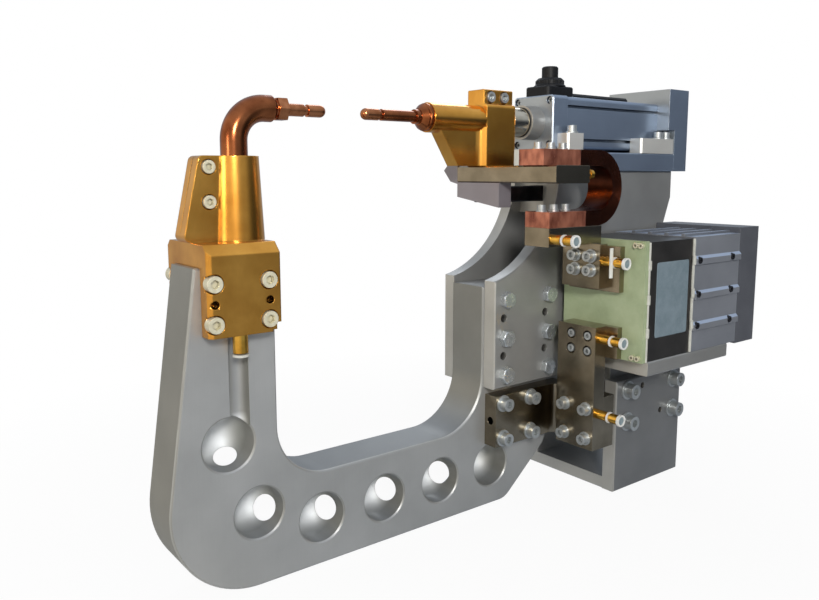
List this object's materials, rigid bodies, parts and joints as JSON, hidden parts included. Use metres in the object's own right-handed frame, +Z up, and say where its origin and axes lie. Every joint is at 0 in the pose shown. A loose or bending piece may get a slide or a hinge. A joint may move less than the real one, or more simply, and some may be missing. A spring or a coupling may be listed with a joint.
{
  "type": "robot spot welding tongs",
  "caption": "C-arm spot welding tongs for a robot, with a servo actuated sliding electrode, copper shunt, busbars and a welding transformer.",
  "frame": {"origin": "end of the fixed cap tip, where the two electrodes meet", "axes": "+X along the electrode line from the fixed tip towards the actuator, +Y away from the transformer side, +Z up"},
  "size_m": [0.7921, 0.2426, 0.5657],
  "materials": {
    "arm_alloy": "satin",
    "plate_alloy": "satin",
    "zinc_steel": "satin",
    "dark_steel": "satin",
    "holder_brass": "polished",
    "fitting_brass": "polished",
    "copper": "polished",
    "copper_bright": "polished",
    "copper_dark": "satin",
    "copper_terminal": "satin",
    "blue_alloy": "satin",
    "rubber": "matte",
    "black_plastic": "matte",
    "bus_bronze": "satin",
    "green_epoxy": "satin",
    "black_paint": "satin",
    "rib_alloy": "satin",
    "cover_paint": "satin",
    "white_plastic": "matte",
    "pale_plastic": "matte",
    "rod_steel": "polished",
    "carrier_alloy": "satin"
  },
  "bodies": {
    "root": {"c_arm": "arm_alloy", "front_side_plate": "plate_alloy", "back_side_plate": "plate_alloy", "arm_bolts": "zinc_steel", "dowel_pins": "dark_steel", "fixed_holder": "holder_brass", "fixed_holder_bolts": "zinc_steel", "holder_water_nipple": "fitting_brass", "fixed_shank": "copper", "fixed_tip_adapter": "copper_bright", "fixed_cap_tip": "copper_bright", "actuator_base_plate": "blue_alloy", "actuator_head": "blue_alloy", "rod_bush": "plate_alloy", "rod_wiper": "rubber", "actuator_tube": "blue_alloy", "actuator_feet": "plate_alloy", "actuator_screws": "zinc_steel", "rear_housing": "blue_alloy", "connector_base": "black_plastic", "connector_plug": "black_plastic", "cable_duct": "black_plastic", "screw_bearing": "dark_steel", "motor_stator": "dark_steel", "guide_block": "plate_alloy", "upper_busbar": "bus_bronze", "upper_flange": "bus_bronze", "lower_flange": "bus_bronze", "lower_busbar": "bus_bronze", "corner_busbar": "bus_bronze", "busbar_screws": "zinc_steel", "shunt_loop": "copper_dark", "shunt_lower_terminal": "copper_terminal", "transformer_end_plate": "green_epoxy", "transformer_screws": "zinc_steel", "transformer_core_housing": "black_paint", "transformer_profile": "rib_alloy", "transformer_rear_cover": "cover_paint", "transformer_shelf": "plate_alloy", "bracket_side_plate": "plate_alloy", "bracket_spacer": "plate_alloy", "bracket_bottom_plate": "plate_alloy", "bracket_bolts": "zinc_steel", "water_fittings": "fitting_brass", "fitting_rings": "white_plastic", "hose_ends": "white_plastic"},
    "ram": {"actuator_rod": "rod_steel", "ball_nut": "dark_steel", "moving_holder": "holder_brass", "carriage_screws": "zinc_steel", "moving_shank": "copper", "moving_cap_tip": "copper_bright", "cross_bar": "bus_bronze", "slide_carrier": "carrier_alloy", "slide_bar": "dark_steel", "shunt_upper_terminal": "copper_terminal", "terminal_edge_plate": "pale_plastic", "carriage_fitting": "fitting_brass"},
    "screw": {"ball_screw": "rod_steel", "motor_rotor": "dark_steel"}
  },
  "joints": [
    {"name": "ram_slide", "type": "slide", "parent": "root", "child": "ram", "axis": [-1, 0, 0], "range_m": [-0.02, 0.0466], "deforming": ["shunt_loop"]},
    {"name": "screw_spin", "type": "hinge", "parent": "root", "child": "screw", "pos_m": [0.4, 0, 0], "axis": [1, 0, 0], "range_deg": [-730, 1690]}
  ],
  "couplings": [
    {"joint": "screw_spin", "follows": "ram_slide", "rad_per_m": 628.32}
  ]
}
